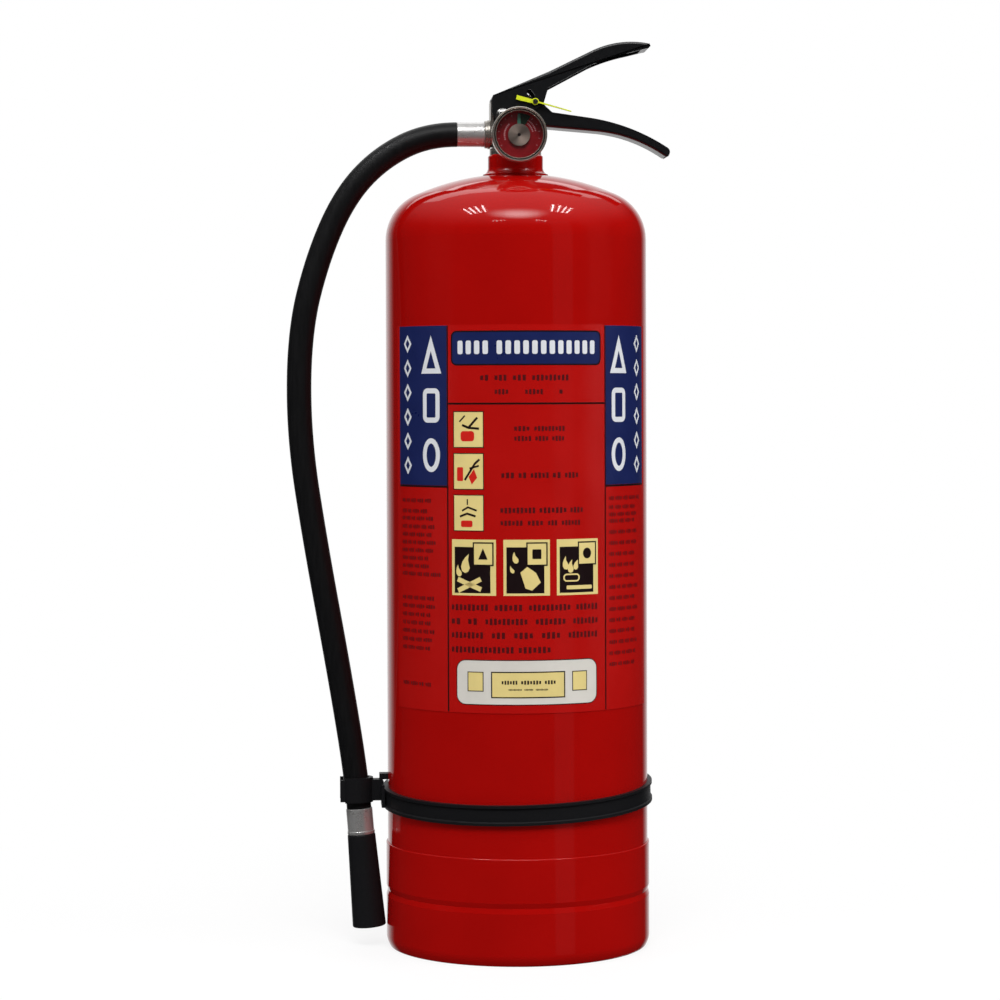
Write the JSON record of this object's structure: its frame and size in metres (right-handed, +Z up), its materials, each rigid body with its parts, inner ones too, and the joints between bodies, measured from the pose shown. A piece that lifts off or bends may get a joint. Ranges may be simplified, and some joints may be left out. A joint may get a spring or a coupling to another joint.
{
  "type": "fire extinguisher",
  "caption": "Upright red stored-pressure dry-powder extinguisher with squeeze levers, pressure gauge, safety pin and a side hose held by a strap and clip.",
  "frame": {"origin": "centre of the foot ring's base, where the extinguisher stands", "axes": "+Z up along the cylinder, -Y to the front with the gauge and label, +X towards the handles"},
  "size_m": [0.2646, 0.1868, 0.6229],
  "materials": {
    "red_paint": "deep gloss enamel",
    "label_film": "printed vinyl film",
    "black_paint": "semi-gloss powder coat",
    "plated_brass": "satin nickel plate",
    "brass": "machined",
    "steel": "drawn and stamped steel",
    "gauge_steel": "pressed stainless steel",
    "dial_print": "printed dial face",
    "needle_paint": "flat enamel",
    "clear_lens": "clear",
    "aluminium": "bright crimped",
    "hose_rubber": "smooth extruded cover",
    "black_plastic": "moulded, satin",
    "white_plastic": "extruded",
    "seal_rubber": "moulded",
    "seal_yellow": "moulded",
    "powder": "fine loose powder"
  },
  "bodies": {
    "cylinder": {"cylinder_shell": "red_paint", "bottom_head": "red_paint", "foot_ring": "red_paint", "neck_ring": "red_paint", "neck_oring": "seal_rubber", "label": "label_film", "powder_charge": "powder", "dip_tube": "white_plastic", "valve_body": "plated_brass", "spring_retainer": "brass", "valve_spring": "steel", "stem_oring": "seal_rubber", "gland_nut": "brass", "carry_handle": "black_paint", "pivot_rivet": "steel", "handle_rivet": "steel", "tamper_seal": "seal_yellow", "gauge_stem": "plated_brass", "gauge_case": "gauge_steel", "gauge_bezel": "gauge_steel", "gauge_coil": "brass", "gauge_dial": "dial_print", "gauge_lens": "clear_lens", "hose_tail": "plated_brass", "hose_nut": "plated_brass", "ferrule_upper": "aluminium", "strap_band": "black_plastic", "hose_clip": "black_plastic", "strap_buckle": "black_plastic"},
    "lever": {"squeeze_lever": "black_paint"},
    "stem": {"valve_stem": "brass", "stem_seal": "seal_rubber"},
    "pin": {"safety_pin": "steel"},
    "ring": {"pull_ring": "steel"},
    "needle": {"gauge_needle": "needle_paint", "gauge_hub": "gauge_steel"},
    "hose_run": {"hose": "hose_rubber", "ferrule_lower": "aluminium", "nozzle": "black_plastic"}
  },
  "joints": [
    {"name": "lever_squeeze", "type": "hinge", "parent": "cylinder", "child": "lever", "pos_m": [-0.0095, 0, 0.572], "axis": [0, 1, 0], "range_deg": [0, 18], "stiffness_Nm_per_rad": 4, "springref_deg": -5.73},
    {"name": "stem_slide", "type": "slide", "parent": "cylinder", "child": "stem", "axis": [0, 0, -1], "range_m": [0, 0.0046], "deforming": ["valve_spring"]},
    {"name": "pin_pull", "type": "slide", "parent": "cylinder", "child": "pin", "axis": [0, 1, 0], "range_m": [0, 0.035]},
    {"name": "ring_swing", "type": "hinge", "parent": "pin", "child": "ring", "pos_m": [0.0129, 0.018, 0.5814], "axis": [0, 0, 1], "range_deg": [-75, 75]},
    {"name": "needle_turn", "type": "hinge", "parent": "cylinder", "child": "needle", "pos_m": [0, -0.037, 0.5566], "axis": [0, 1, 0], "range_deg": [-90, 90], "stiffness_Nm_per_rad": 0.002},
    {"name": "hose_swing", "type": "hinge", "parent": "cylinder", "child": "hose_run", "pos_m": [-0.0431, 0, 0.5598], "axis": [0, 1, 0], "range_deg": [0, 30]}
  ],
  "couplings": [
    {"joint": "stem_slide", "follows": "lever_squeeze", "m_per_rad": 0.0145}
  ]
}
